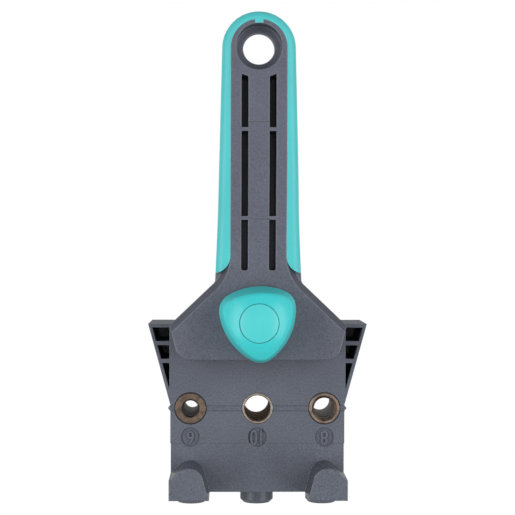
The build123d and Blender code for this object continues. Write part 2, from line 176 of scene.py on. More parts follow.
class Board:
    """A node tree, with short calls to add its nodes and join them."""

    def __init__(self, tree: bpy.types.NodeTree) -> None:
        """Keeps the tree."""
        self.tree = tree

    def add(self, kind: str, **settings: object) -> bpy.types.Node:
        """Adds a node.

        Args:
            kind: Blender's name of the node's type.
            settings: Properties of the node and their values.

        Returns:
            The new node.
        """
        node = self.tree.nodes.new(kind)
        for name, value in settings.items():
            setattr(node, name, value)
        return node

    def feed(self, value: object, place: bpy.types.NodeSocket) -> None:
        """Links a socket or a field to an input, or sets a plain value there.

        Args:
            value: A socket, a field or a plain value.
            place: The input.
        """
        if isinstance(value, Field):
            value = value.socket
        if isinstance(value, bpy.types.NodeSocket):
            self.tree.links.new(value, place)
        else:
            place.default_value = value

    def call(self, kind: str, inputs: dict[Union[str, int], object],
             **settings: object) -> bpy.types.Node:
        """Adds a node and feeds its inputs.

        Args:
            kind: Blender's name of the node's type.
            inputs: Names or numbers of inputs, and what each takes.
            settings: Properties of the node and their values.

        Returns:
            The new node.
        """
        node = self.add(kind, **settings)
        for name, value in inputs.items():
            self.feed(value, node.inputs[name])
        return node

    def field(self, socket: bpy.types.NodeSocket) -> Field:
        """A socket as a field."""
        return Field(self, socket)

    def split(self, vector: bpy.types.NodeSocket) -> tuple[Field, Field, Field]:
        """Splits a vector.

        Args:
            vector: The socket that carries it.

        Returns:
            Its X, Y and Z.
        """
        parts = self.call("ShaderNodeSeparateXYZ", {0: vector})
        return tuple(self.field(parts.outputs[name]) for name in ("X", "Y", "Z"))

    def here(self) -> bpy.types.NodeSocket:
        """The place of the shaded point in its piece's own frame."""
        return self.add("ShaderNodeTexCoord").outputs["Object"]

    def scaled(self, vector: object, factor: Field) -> bpy.types.NodeSocket:
        """Multiplies a colour or vector by a number.

        Args:
            vector: The colour or vector.
            factor: The number.

        Returns:
            The product.
        """
        node = self.call("ShaderNodeVectorMath", {0: vector, "Scale": factor}, operation="SCALE")
        return node.outputs[0]

    def mixed(self, share: Field, start: object, end: object) -> bpy.types.NodeSocket:
        """Mixes two colours.

        Args:
            share: From 0 to 1.
            start: The colour at 0.
            end: The colour at 1.

        Returns:
            The mixed colour.
        """
        node = self.call("ShaderNodeMix", {"Factor": share, "A": start, "B": end}, data_type="RGBA")
        return node.outputs["Result"]


def declare(tree: bpy.types.NodeTree, name: str, kind: str, going: str = "INPUT",
            value: object = None) -> None:
    """Gives a node group a named input or output.

    Args:
        tree: The node group.
        name: The socket's name.
        kind: The socket's type, such as Float or Vector.
        going: INPUT or OUTPUT.
        value: What an input holds where nothing is linked.
    """
    socket = tree.interface.new_socket(name, in_out=going, socket_type=f"NodeSocket{kind}")
    if value is not None:
        socket.default_value = value


class Effects:
    """The shader effects that several finishes share, each a node group that is built once.

    FINE_SHARE is the part of the grain's height that its fine noise makes. The rest comes from its pits.
    """

    FINE_SHARE = 0.6

    def __init__(self) -> None:
        """Builds the groups."""
        self.grain = self._grain()
        self.edges = self._edges()

    @staticmethod
    def _start(name: str, inputs: Sequence[tuple[str, str, object]],
               outputs: Sequence[tuple[str, str]]) -> tuple[Board, bpy.types.Node, bpy.types.Node]:
        """Starts a shader group.

        Args:
            name: The group's name.
            inputs: Name, type and value of each input.
            outputs: Name and type of each output.

        Returns:
            Its board, its input node and its output node.
        """
        tree = bpy.data.node_groups.new(name, "ShaderNodeTree")
        for label, kind, value in inputs:
            declare(tree, label, kind, value=value)
        for label, kind in outputs:
            declare(tree, label, kind, going="OUTPUT")
        board = Board(tree)
        return board, board.add("NodeGroupInput"), board.add("NodeGroupOutput")

    def _grain(self) -> bpy.types.NodeTree:
        """Builds spark-eroded grain: fine pits for the bump, and slow blotches for tone and gloss.

        Returns:
            The node group.
        """
        board, given, result = self._start(
            "moulded grain", [("Grain", "Float", 3000.0), ("Blotch", "Float", 60.0)],
            [("Height", "Float"), ("Tone", "Float"), ("Speck", "Float")])
        place = board.here()
        fine = board.call("ShaderNodeTexNoise", {"Vector": place, "Scale": given.outputs["Grain"],
                                                 "Detail": 3.0, "Roughness": 0.6})
        pits = board.call("ShaderNodeTexVoronoi", {"Vector": place, "Scale": given.outputs["Grain"]},
                          feature="SMOOTH_F1")
        slow = board.call("ShaderNodeTexNoise", {"Vector": place, "Scale": given.outputs["Blotch"],
                                                 "Detail": 4.0, "Roughness": 0.55})
        deep = board.field(pits.outputs["Distance"]) * (1.0 - self.FINE_SHARE)
        board.feed(board.field(fine.outputs[0]) * self.FINE_SHARE + deep, result.inputs["Height"])
        board.feed(slow.outputs[0], result.inputs["Tone"])
        board.feed(fine.outputs[0], result.inputs["Speck"])
        return board.tree

    def _edges(self) -> bpy.types.NodeTree:
        """Builds rounded edges: the softened normal, and a mask that is 1 on the sharpest edges, for
        painted highlight and wear.

        Returns:
            The node group.
        """
        board, given, result = self._start(
            "edge wear", [("Radius", "Float", 0.4 * MM), ("Reach", "Float", 0.35)],
            [("Mask", "Float"), ("Normal", "Vector")])
        soft = board.call("ShaderNodeBevel", {"Radius": given.outputs["Radius"]}, samples=6)
        flat = board.add("ShaderNodeNewGeometry").outputs["Normal"]
        turn = board.call("ShaderNodeVectorMath", {0: soft.outputs[0], 1: flat}, operation="DOT_PRODUCT")
        bend = 1.0 - board.field(turn.outputs["Value"])
        board.feed(bend.span(0.0, board.field(given.outputs["Reach"])), result.inputs["Mask"])
        board.feed(soft.outputs[0], result.inputs["Normal"])
        return board.tree


def start_material(name: str) -> tuple[bpy.types.Material, Board, bpy.types.Node]:
    """Starts a material.

    Args:
        name: The material's name.

    Returns:
        The material, its board and its Principled shader.
    """
    material = bpy.data.materials.new(name)
    material.use_nodes = True
    board = Board(material.node_tree)
    return material, board, material.node_tree.nodes["Principled BSDF"]


@dataclass(frozen=True)
class MouldedFinish:
    """Moulded plastic or rubber with a fine eroded grain, a little lighter along its edges with painted
    highlight and wear.

    Each recess is the middle of a round recess whose floor is darkened by painted shade. Smooth walls are
    steeper than smooth_tilt and lie above smooth_from, between the two smooth_side and past smooth_end;
    they have less grain, more gloss and painted shade. A groove_half or smooth_from of 0 leaves out the
    groove's painted shade or the smooth walls.
    """

    name: str
    colour: Colour
    edge_highlight_colour: Colour
    roughness: float
    grain_depth: float
    gloss_swing: float = 0.05
    grain: float = 3200.0
    blotch: float = 55.0
    tone_low: float = 0.92
    tone_high: float = 1.08
    speck: float = 0.0
    recesses: tuple[tuple[float, float], ...] = ()
    recess_radius: float = 3.72 * MM
    recess_top: float = 29.5 * MM
    recess_painted_shade: float = 0.12
    front_from: float = 28.5 * MM
    groove_half: float = 0.0
    groove_painted_shade: float = 0.05
    groove_line: float = 0.3 * MM
    groove_edge_painted_shade: float = 0.16
    smooth_from: float = 0.0
    smooth_tilt: float = 0.5
    smooth_side: float = 33.3 * MM
    smooth_end: float = -32.2 * MM
    smooth_grain: float = 0.2
    steep_wall_painted_shade: float = 0.42
    smooth_gloss: float = 0.2
    edge_radius: float = 0.35 * MM
    edge_highlight_share: float = 0.35
    edge_highlight_reach: float = 0.35
    specular: float = 0.5

    def _recess(self, board: Board, centre: tuple[float, float]) -> Field:
        """A mask that is 1 on the floor of a round recess in the head's front.

        Args:
            board: The material's board.
            centre: The middle of the recess.

        Returns:
            The mask.
        """
        x, y, z = board.split(board.here())
        out = ((x - centre[0]) * (x - centre[0]) + (y - centre[1]) * (y - centre[1])).math("SQRT")
        within = out.math("LESS_THAN", self.recess_radius)
        return within * z.math("LESS_THAN", self.recess_top) * z.math("GREATER_THAN", self.recess_top / 2)

    def _painted_groove_shade(self, board: Board) -> Field:
        """Painted shade that darkens the shallow groove across the head's front, most along its two edges.

        Args:
            board: The material's board.

        Returns:
            How much darker each point is.
        """
        _, y, z = board.split(board.here())
        off = y.math("ABSOLUTE")
        line = 1.0 - (off - self.groove_half).math("ABSOLUTE").span(0.0, self.groove_line)
        within = off.math("LESS_THAN", self.groove_half) * self.groove_painted_shade
        return (line * self.groove_edge_painted_shade + within) * z.math("GREATER_THAN", self.front_from)

    def _smooth_and_shaded_wall(self, board: Board) -> Field:
        """A mask that is 1 on the walls and bevels that are nearly without grain and get painted shade.

        Args:
            board: The material's board.

        Returns:
            The mask.
        """
        x, y, z = board.split(board.here())
        _, _, rise = board.split(board.add("ShaderNodeNewGeometry").outputs["True Normal"])
        steep = rise.math("ABSOLUTE").math("LESS_THAN", self.smooth_tilt)
        between = x.math("ABSOLUTE").math("LESS_THAN", self.smooth_side)
        above = y.math("GREATER_THAN", self.smooth_end)
        return steep * (between * above) * z.math("GREATER_THAN", self.smooth_from)

    def build(self, effects: Effects) -> bpy.types.Material:
        """Builds the material.

        Args:
            effects: The shared node groups.

        Returns:
            The material.
        """
        material, board, shader = start_material(self.name)
        grain = board.call("ShaderNodeGroup", {"Grain": self.grain, "Blotch": self.blotch},
                           node_tree=effects.grain)
        edges = board.call("ShaderNodeGroup", {"Radius": self.edge_radius, "Reach": self.edge_highlight_reach},
                           node_tree=effects.edges)
        slow = board.field(grain.outputs["Tone"]).span(NOISE_LOW, NOISE_HIGH)
        tone = slow * (self.tone_high - self.tone_low) + self.tone_low
        speck = (board.field(grain.outputs["Speck"]) - NOISE_MIDDLE) * self.speck
        height = board.field(grain.outputs["Height"])
        wall = self._smooth_and_shaded_wall(board) if self.smooth_from else None
        if wall:
            share = 1.0 - wall * (1.0 - self.smooth_grain)
            speck = speck * share
            height = height * share
        tone = tone + speck
        # Painted shade darkens the floor of each round recess.
        for centre in self.recesses:
            tone = tone * (1.0 - self._recess(board, centre) * self.recess_painted_shade)
        # Painted shade darkens the groove across the head's front, most along its edges.
        if self.groove_half:
            tone = tone * (1.0 - self._painted_groove_shade(board))
        # Painted shade darkens the steep walls and bevels.
        if wall:
            tone = tone * (1.0 - wall * self.steep_wall_painted_shade)
        # Painted highlight, with some wear, lightens the sharpest edges.
        highlight_and_wear = board.field(edges.outputs["Mask"]) * self.edge_highlight_share
        colour = board.mixed(highlight_and_wear, board.scaled(self.colour, tone), (*self.edge_highlight_colour, 1.0))
        board.feed(colour, shader.inputs["Base Color"])
        dull = board.call("ShaderNodeMapRange", {"Value": grain.outputs["Speck"], "From Min": NOISE_LOW,
                                                 "From Max": NOISE_HIGH,
                                                 "To Min": self.roughness - self.gloss_swing,
                                                 "To Max": self.roughness + self.gloss_swing})
        roughness = board.field(dull.outputs["Result"])
        if wall:
            roughness = roughness - wall * self.smooth_gloss
        board.feed(roughness, shader.inputs["Roughness"])
        bump = board.call("ShaderNodeBump", {"Distance": self.grain_depth, "Height": height,
                                             "Normal": edges.outputs["Normal"]})
        board.feed(bump.outputs["Normal"], shader.inputs["Normal"])
        shader.inputs["Specular IOR Level"].default_value = self.specular
        return material


@dataclass(frozen=True)
class TurnedFinish:
    """Turned steel: stained, with fine rings round its own axis and a bore in a tone of its own, and
    painted shade in bands along the bore and round the mouth's chamfer.

    bore_dullness is what the bore loses of metallic, or gains where it is below 0.
    """

    name: str
    centre: tuple[float, float]
    colour: Colour
    stain: Colour
    stain_from: float = 0.38
    stain_to: float = 0.62
    bore: Colour = (0.16, 0.155, 0.14)
    bore_radius: float = 0.0
    bore_margin: float = 0.05 * MM
    mouth_radius: float = 0.0
    mouth_painted_shade: float = 0.0
    bore_dullness: float = 0.3
    bore_roughness: float = 0.15
    mark_pitch: float = MARK_PITCH
    mark_painted_shade: float = 0.5
    roughness: float = 0.42
    gloss_swing: float = 0.1
    grain: float = 2600.0
    blotch: float = 420.0
    edge_radius: float = 0.2 * MM
    ring: float = 0.5 * MM
    ring_share: float = 0.5
    ring_depth: float = 0.01 * MM
    metallic: float = 0.85
    edge_tint: Colour = (1.0, 1.0, 1.0)

    def build(self, effects: Effects) -> bpy.types.Material:
        """Builds the material.

        Args:
            effects: The shared node groups.

        Returns:
            The material.
        """
        material, board, shader = start_material(self.name)
        centred = board.call("ShaderNodeVectorMath", {0: board.here(), 1: (*self.centre, 0.0)},
                             operation="SUBTRACT")
        x, y, z = board.split(centred.outputs[0])
        out = (x * x + y * y).math("SQRT")
        rings = (out * (2 * math.pi / self.ring)).math("SINE")
        grain = board.call("ShaderNodeGroup", {"Grain": self.grain, "Blotch": self.blotch},
                           node_tree=effects.grain)
        edges = board.call("ShaderNodeGroup", {"Radius": self.edge_radius}, node_tree=effects.edges)
        clean = board.field(grain.outputs["Tone"]).span(self.stain_from, self.stain_to)
        steel = board.mixed(clean, (*self.stain, 1.0), (*self.colour, 1.0))
        inside = out.math("LESS_THAN", self.bore_radius + self.bore_margin)
        # Painted shade in bands along the bore stands in for the shading of its ring ridges.
        marks = (z * (2 * math.pi / self.mark_pitch)).math("SINE") * self.mark_painted_shade + 1.0
        # Painted shade darkens the mouth's chamfer.
        shade = 1.0 - out.math("LESS_THAN", self.mouth_radius) * self.mouth_painted_shade
        tone = board.mixed(inside, board.scaled(steel, shade), board.scaled(self.bore, marks))
        board.feed(tone, shader.inputs["Base Color"])
        swing = self.gloss_swing
        dull = board.field(grain.outputs["Tone"]) * (2 * swing) + (self.roughness - swing)
        board.feed(dull + inside * self.bore_roughness, shader.inputs["Roughness"])
        height = rings * self.ring_share + board.field(grain.outputs["Height"])
        bump = board.call("ShaderNodeBump", {"Distance": self.ring_depth, "Height": height,
                                             "Normal": edges.outputs["Normal"]})
        board.feed(bump.outputs["Normal"], shader.inputs["Normal"])
        board.feed(self.metallic - inside * self.bore_dullness, shader.inputs["Metallic"])
        shader.inputs["Specular Tint"].default_value = (*self.edge_tint, 1.0)
        return material


def dress(node: bpy.types.Object, material: bpy.types.Material) -> None:
    """Puts a material on every slot of an object.

    Args:
        node: The object.
        material: What it gets.
    """
    if not node.material_slots:
        node.data.materials.append(material)
    for slot in node.material_slots:
        slot.material = material


def keep(frame: dict, node: str, material: bpy.types.Material) -> None:
    """Keeps a node's solid as the visible piece and gives it a material.

    Args:
        frame: The loaded frame.
        node: The node.
        material: What its solid gets.
    """
    dress(frame["nodes"][node], material)
    log.info("%s keeps its solid", node)


def centre_of(node: str) -> Vector:
    """The middle of a node's box at rest."""
    low, high = (Vector(corner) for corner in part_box(node))
    return (low + high) / 2


def settle(piece: bpy.types.Object, body: Body, stands_for: Sequence[str] = ()) -> None:
    """Declares a finished piece: its body and the nodes that it stands for.

    Args:
        piece: The finished piece.
        body: The body that it rides on.
        stands_for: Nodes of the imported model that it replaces.
    """
    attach(piece, body.value)
    if stands_for:
        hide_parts(*stands_for)
    log.info("%s rides on %s", piece.name, body.value)


def plain_copy(source: bpy.types.Object, name: str) -> bpy.types.Object:
    """Turns what an object evaluates to into a plain mesh object at the origin, and removes the object.

    Args:
        source: An object with modifiers, or a text or curve object.
        name: The new object's name.

    Returns:
        The plain object.
    """
    bpy.context.view_layer.update()
    evaluated = source.evaluated_get(bpy.context.evaluated_depsgraph_get())
    mesh = bpy.data.meshes.new_from_object(evaluated)
    place = source.matrix_world.copy()
    bpy.data.objects.remove(source)
    mesh.transform(place)
    mesh.name = name
    piece = bpy.data.objects.new(name, mesh)
    bpy.context.scene.collection.objects.link(piece)
    return piece


class RuledForm:
    """A closed form made by a node tree that bends a sheet of rows and columns by a rule.

    ROW_NUDGE keeps the first point of a row from being counted to the row before it. Points closer
    together than MERGE_REACH become one.
    """

    ROW_NUDGE = 0.0001
    MERGE_REACH = 0.002 * MM

    def __init__(self, name: str) -> None:
        """Starts the tree with its sheet's inputs.

        Args:
            name: The tree's name.
        """
        self.tree = bpy.data.node_groups.new(name, "GeometryNodeTree")
        self.board = Board(self.tree)
        self.values: dict[str, object] = {}
        declare(self.tree, "Geometry", "Geometry", going="OUTPUT")
        self.given = self.board.add("NodeGroupInput")
        self.result = self.board.add("NodeGroupOutput")

    def size(self, name: str, value: object, kind: str = "Float") -> Field:
        """Declares a named input and its value.

        Args:
            name: The input's name.
            value: What the modifier sets it to.
            kind: The socket's type.

        Returns:
            The input as a field.
        """
        declare(self.tree, name, kind)
        self.values[name] = value
        return self.board.field(self.given.outputs[name])

    def sheet(self, steps: int) -> tuple[bpy.types.Node, Field, Field]:
        """Adds the sheet: columns go once round, and rows, which close() counts, go along the profile.

        Args:
            steps: Steps once round.

        Returns:
            The grid node, the angle of a column in radians and the number of a row.
        """
        board = self.board
        around = self.size("Around", float(steps))
        columns = around + 1.0
        grid = board.call("GeometryNodeMeshGrid", {"Vertices Y": columns})
        index = board.field(board.add("GeometryNodeInputIndex").outputs[0])
        row = (index / columns + self.ROW_NUDGE).math("FLOOR")
        column = index - row * columns
        return grid, column * (2 * math.pi) / around, row

    def close(self, grid: bpy.types.Node, angle: Field, contour: "Contour", smooth_below: float) -> None:
        """Bends the sheet round the axis, closes it and gives it its material.

        Args:
            grid: The sheet.
            angle: The angle of each column.
            contour: How far from the axis and how high each row is.
            smooth_below: Edges that turn less than this, in degrees, are shaded smooth.
        """
        board = self.board
        grid.inputs["Vertices X"].default_value = contour.rows + 1
        centre = self.size("Centre", None, "Vector")
        finish = self.size("Finish", None, "Material")
        bent = board.call("ShaderNodeCombineXYZ", {"X": contour.radius * angle.math("COSINE"),
                                                   "Y": contour.radius * angle.math("SINE"),
                                                   "Z": contour.height})
        placed = board.call("ShaderNodeVectorMath", {0: bent.outputs[0], 1: centre}, operation="ADD")
        moved = board.call("GeometryNodeSetPosition", {"Geometry": grid.outputs["Mesh"],
                                                       "Position": placed.outputs[0]})
        outward = board.call("GeometryNodeFlipFaces", {"Mesh": moved.outputs[0]})
        joined = board.call("GeometryNodeMergeByDistance", {"Geometry": outward.outputs[0],
                                                            "Distance": self.MERGE_REACH})
        angles = board.add("GeometryNodeInputMeshEdgeAngle")
        smooth = board.field(angles.outputs["Unsigned Angle"]).math("LESS_THAN", math.radians(smooth_below))
        faces = board.call("GeometryNodeSetShadeSmooth", {"Geometry": joined.outputs[0]}, domain="FACE")
        edges = board.call("GeometryNodeSetShadeSmooth", {"Geometry": faces.outputs[0],
                                                          "Shade Smooth": smooth}, domain="EDGE")
        real = board.call("GeometryNodeRealizeInstances", {"Geometry": edges.outputs[0]})
        dressed = board.call("GeometryNodeSetMaterial", {"Geometry": real.outputs[0], "Material": finish})
        board.feed(dressed.outputs[0], self.result.inputs[0])

    def make(self, name: str, centre: Vector, finish: bpy.types.Material) -> bpy.types.Object:
        """Runs the tree on an empty mesh and returns the plain result.

        Args:
            name: The piece's name.
            centre: Where the axis meets height zero.
            finish: The material.

        Returns:
            The plain piece.
        """
        self.values["Centre"] = centre
        self.values["Finish"] = finish
        holder = bpy.data.objects.new(name + "_form", bpy.data.meshes.new(name + "_form"))
        bpy.context.scene.collection.objects.link(holder)
        modifier = holder.modifiers.new("form", "NODES")
        modifier.node_group = self.tree
        for item in self.tree.interface.items_tree:
            if item.in_out == "INPUT":
                modifier[item.identifier] = self.values[item.name]
        return plain_copy(holder, name)


class Contour:
    """The radius and height of a sheet's rows, added up stretch by stretch from a starting point."""

    def __init__(self, row: Field, radius: Number, height: Number) -> None:
        """Puts every row at the starting point.

        Args:
            row: The number of each row.
            radius: The radius of the starting point.
            height: The height of the starting point.
        """
        self.row = row
        self.radius = row * 0.0 + radius
        self.height = row * 0.0 + height
        self.end: tuple[Number, Number] = (radius, height)
        self.rows = 0

    def bend(self, rows: int, rule: Callable[[Field], tuple[Number, Number]],
             end: tuple[Number, Number]) -> None:
        """Adds a stretch that follows a rule.

        Args:
            rows: How many rows it takes.
            rule: Gives the radius and height for the share of the stretch that lies behind.
            end: The radius and height at its end.
        """
        share = self.row.span(float(self.rows), float(self.rows + rows))
        radius, height = rule(share)
        self.radius = self.radius + (radius - self.end[0])
        self.height = self.height + (height - self.end[1])
        self.end = end
        self.rows += rows

    def line(self, radius: Number, height: Number, rows: int = 1) -> None:
        """Adds a straight stretch.

        Args:
            radius: The radius at its end.
            height: The height at its end.
            rows: How many rows it takes.
        """
        start = self.end
        self.bend(rows, lambda share: (start[0] + (radius - start[0]) * share,
                                       start[1] + (height - start[1]) * share), (radius, height))


@dataclass(frozen=True)
class BushKind:
    """One bush: its node, its bore's radius and chamfers, the tones of its rim and bore, and the painted
    shade of its mouth.
    """

    node: str
    bore: float
    chamfer: float
    rear_chamfer: float
    colour: Colour
    stain: Colour
    bore_colour: Colour
    mouth_painted_shade: float
    bore_dullness: float = 0.3
    edge_tint: Colour = (1.0, 1.0, 1.0)


@dataclass
class DrillBushes:
    """The three hardened bushes, turned on the outside and reamed to size, with the marks of the tool."""

    kinds: tuple[BushKind, ...] = (
        BushKind("bush_6", bore=3.0 * MM, chamfer=0.6 * MM, rear_chamfer=0.4 * MM,
                 colour=(0.235, 0.17, 0.125), stain=(0.12, 0.09, 0.075),
                 bore_colour=(0.12, 0.117, 0.108), mouth_painted_shade=0.6),
        # bush_10's near-black bore tone is partly painted shade of its deep bore.
        BushKind("bush_10", bore=5.0 * MM, chamfer=0.3 * MM, rear_chamfer=0.01 * MM,
                 colour=(0.46, 0.385, 0.325), stain=(0.34, 0.28, 0.235),
                 bore_colour=(0.035, 0.026, 0.02), mouth_painted_shade=0.15, bore_dullness=-0.15,
                 edge_tint=(0.25, 0.2, 0.16)),
        BushKind("bush_8", bore=4.0 * MM, chamfer=1.0 * MM, rear_chamfer=0.4 * MM,
                 colour=(0.37, 0.275, 0.22), stain=(0.23, 0.17, 0.135),
                 bore_colour=(0.1, 0.098, 0.09), mouth_painted_shade=0.42))
    outer_radius: float = 6.0 * MM
    outer_chamfer: float = 0.25 * MM
    mark_pitch: float = MARK_PITCH
    mark_depth: float = 0.14 * MM
    around: int = 96
    steps_per_mark: int = 14
    smooth_below: float = 22.0

    def finish(self, kind: BushKind) -> TurnedFinish:
        """The finish of one bush.

        Args:
            kind: The bush.

        Returns:
            Its finish, centred on its axis.
        """
        middle = centre_of(kind.node)
        return TurnedFinish(f"oiled steel of {kind.node}", (middle.x, middle.y), kind.colour, kind.stain,
                            bore=kind.bore_colour, bore_radius=kind.bore,
                            mouth_radius=kind.bore + kind.chamfer, mouth_painted_shade=kind.mouth_painted_shade,
                            bore_dullness=kind.bore_dullness, edge_tint=kind.edge_tint,
                            mark_pitch=self.mark_pitch)

    def form(self, kind: BushKind, length: float) -> RuledForm:
        """The node tree of one bush.

        Args:
            kind: The bush.
            length: Its length.

        Returns:
            The tree, ready to make.
        """
        form = RuledForm("turned bush")
        outside = form.size("Outer radius", self.outer_radius)
        corner = form.size("Outer chamfer", self.outer_chamfer)
        inside = form.size("Bore radius", kind.bore)
        mouth = form.size("Mouth chamfer", kind.chamfer)
        back = form.size("Rear chamfer", kind.rear_chamfer)
        long = form.size("Length", length)
        depth = form.size("Mark depth", self.mark_depth)
        count = round(length / self.mark_pitch)
        marks = form.size("Marks", float(count))
        grid, angle, row = form.sheet(self.around)

        def reamed(share: Field) -> tuple[Number, Number]:
            """The bore with its ring marks, from the mouth to the back."""
            wave = (1.0 - (share * marks * (2 * math.pi)).math("COSINE")) / 2
            return inside + wave * depth, (long - mouth).towards(back, share)

        contour = Contour(row, outside - corner, 0.0)
        contour.line(outside, corner)
        contour.line(outside, long - corner)
        contour.line(outside - corner, long)
        contour.line(inside + mouth, long)
        contour.line(inside, long - mouth)
        contour.bend(count * self.steps_per_mark, reamed, (inside, back))
        contour.line(inside + back, 0.0)
        contour.line(outside - corner, 0.0)
        form.close(grid, angle, contour, self.smooth_below)
        return form

    def build(self, effects: Effects) -> None:
        """Builds the bushes at their places.

        Args:
            effects: The shared node groups.
        """
        for kind in self.kinds:
            low, high = (Vector(corner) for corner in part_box(kind.node))
            middle = centre_of(kind.node)
            finish = self.finish(kind).build(effects)
            form = self.form(kind, high.z - low.z)
            piece = form.make(f"turned_{kind.node}", Vector((middle.x, middle.y, low.z)), finish)
            settle(piece, Body.HEAD, [kind.node])


@dataclass
class ClampKnob:
    """The three-lobed knob, whose outline, draft, rim, crown and hollow follow one rule, and its cap.

    The rim's round touches the drafted wall and the crown. Its centre is found by rim_passes repeats from a
    first guess of its height, rim_guess, which is a share of the knob's height.
    """

    finish: MouldedFinish
    cap_finish: MouldedFinish
    lobes: int = 3
    mean_radius: float = 14.169 * MM
    lobe_depth: float = 1.262 * MM
    lobe_point: float = 0.239 * MM
    lobe_corner: float = 0.05 * MM
    turn: float = 5.0
    taper: float = 9.0
    collar: float = 3.5 * MM
    rim: float = 3.0 * MM
    crown_radius: float = 20.0 * MM
    wall: float = 2.4 * MM
    hub_radius: float = 8.6 * MM
    ceiling: float = 12.5 * MM
    seat_radius: float = 7.3 * MM
    seat_height: float = 16.9 * MM
    pocket_radius: float = 6.2 * MM
    pocket_height: float = 3.7 * MM
    bolt_hole: float = 3.3 * MM
    washer_radius: float = 7.2 * MM
    washer_room: float = 0.9 * MM
    rim_guess: float = 0.85
    rim_passes: int = 3
    around: int = 216
    draft_rows: int = 6
    rim_rows: int = 14
    crown_rows: int = 16
    smooth_below: float = 40.0

    def outline(self, form: RuledForm, angle: Field) -> Field:
        """The lobed outline's radius at an angle.

        Args:
            form: The tree that gets the outline's sizes.
            angle: The angle round the axis.

        Returns:
            The radius there.
        """
        turned = angle - form.size("Turn", math.radians(self.turn - 90))
        swing = turned * form.size("Lobes", float(self.lobes))
        radius = form.size("Mean radius", self.mean_radius)
        waves = (("Lobe depth", self.lobe_depth), ("Lobe point", self.lobe_point),
                 ("Lobe corner", self.lobe_corner))
        for number, (name, depth) in enumerate(waves, start=1):
            radius = radius + form.size(name, depth) * (swing * float(number)).math("COSINE")
        return radius

    def form(self, height: float) -> RuledForm:
        """The node tree of the knob's shell.

        Args:
            height: From the knob's underside to the top of its crown.

        Returns:
            The tree, ready to make.
        """
        form = RuledForm("lobed knob")
        grid, angle, row = form.sheet(self.around)
        outline = self.outline(form, angle)
        tall = form.size("Height", height)
        collar = form.size("Collar", self.collar)
        taper = form.size("Taper", math.radians(self.taper))
        rim = form.size("Rim round", self.rim)
        crown = form.size("Crown radius", self.crown_radius)
        ceiling = form.size("Ceiling", self.ceiling)
        inner = outline - form.size("Wall", self.wall)
        hub = form.size("Hub radius", self.hub_radius)
        seat = form.size("Seat radius", self.seat_radius)
        ledge = form.size("Seat height", self.seat_height)
        pocket = form.size("Pocket radius", self.pocket_radius)
        floor = form.size("Pocket height", self.pocket_height)
        hole = form.size("Bolt hole", self.bolt_hole)
        washer = form.size("Washer radius", self.washer_radius)
        room = form.size("Washer room", self.washer_room)

        slope = taper.math("TANGENT")
        steep = taper.math("COSINE")
        centre = tall - crown
        reach = crown - rim
        mid_height = tall * self.rim_guess
        for _ in range(self.rim_passes):
            mid_radius = outline - slope * (mid_height - collar) - rim / steep
            mid_height = centre + (reach * reach - mid_radius * mid_radius).math("SQRT")
        top_turn = (mid_radius / reach).math("ARCCOSINE")
        crown_edge = mid_radius + rim * top_turn.math("COSINE")

        def rim_round(share: Field) -> tuple[Number, Number]:
            """The rim's round, from the wall to the crown."""
            turn = taper.towards(top_turn, share)
            return mid_radius + rim * turn.math("COSINE"), mid_height + rim * turn.math("SINE")

        def crowned(share: Field) -> tuple[Number, Number]:
            """The crown, from the rim's round to the cap's seat."""
            radius = crown_edge.towards(seat, share)
            return radius, centre + (crown * crown - radius * radius).math("SQRT")

        contour = Contour(row, washer, 0.0)
        contour.line(hub, 0.0)
        contour.line(hub, ceiling)
        contour.line(inner - slope * (ceiling - collar), ceiling)
        contour.line(inner, collar)
        contour.line(inner, 0.0)
        contour.line(outline, 0.0)
        contour.line(outline, collar)
        contour.line(mid_radius + rim * steep, mid_height + rim * taper.math("SINE"), self.draft_rows)
        contour.bend(self.rim_rows, rim_round, (crown_edge, mid_height + rim * top_turn.math("SINE")))
        contour.bend(self.crown_rows, crowned, (seat, centre + (crown * crown - seat * seat).math("SQRT")))
        contour.line(seat, ledge)
        contour.line(pocket, ledge)
        contour.line(pocket, floor)
        contour.line(hole, floor)
        contour.line(hole, room)
        contour.line(washer, room)
        contour.line(washer, 0.0)
        form.close(grid, angle, contour, self.smooth_below)
        return form

    def build(self, frame: dict, effects: Effects) -> None:
        """Builds the knob and dresses its cap.

        Args:
            frame: The loaded frame.
            effects: The shared node groups.
        """
        finish = self.finish.build(effects)
        low, _ = (Vector(corner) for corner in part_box("clamp_knob"))
        _, high = (Vector(corner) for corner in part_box("knob_cap"))
        middle = centre_of("knob_cap")
        form = self.form(high.z - low.z)
        knob = form.make("lobed_knob", Vector((middle.x, middle.y, low.z)), finish)
        settle(knob, Body.KNOB, ["clamp_knob"])
        keep(frame, "knob_cap", self.cap_finish.build(effects))


@dataclass(frozen=True)
class Numeral:
    """A size in raised figures: what it reads, the bush above it, its height and how narrow it is."""

    words: str
    bush: str
    height: float = 5.3 * MM
    narrow: float = 0.84


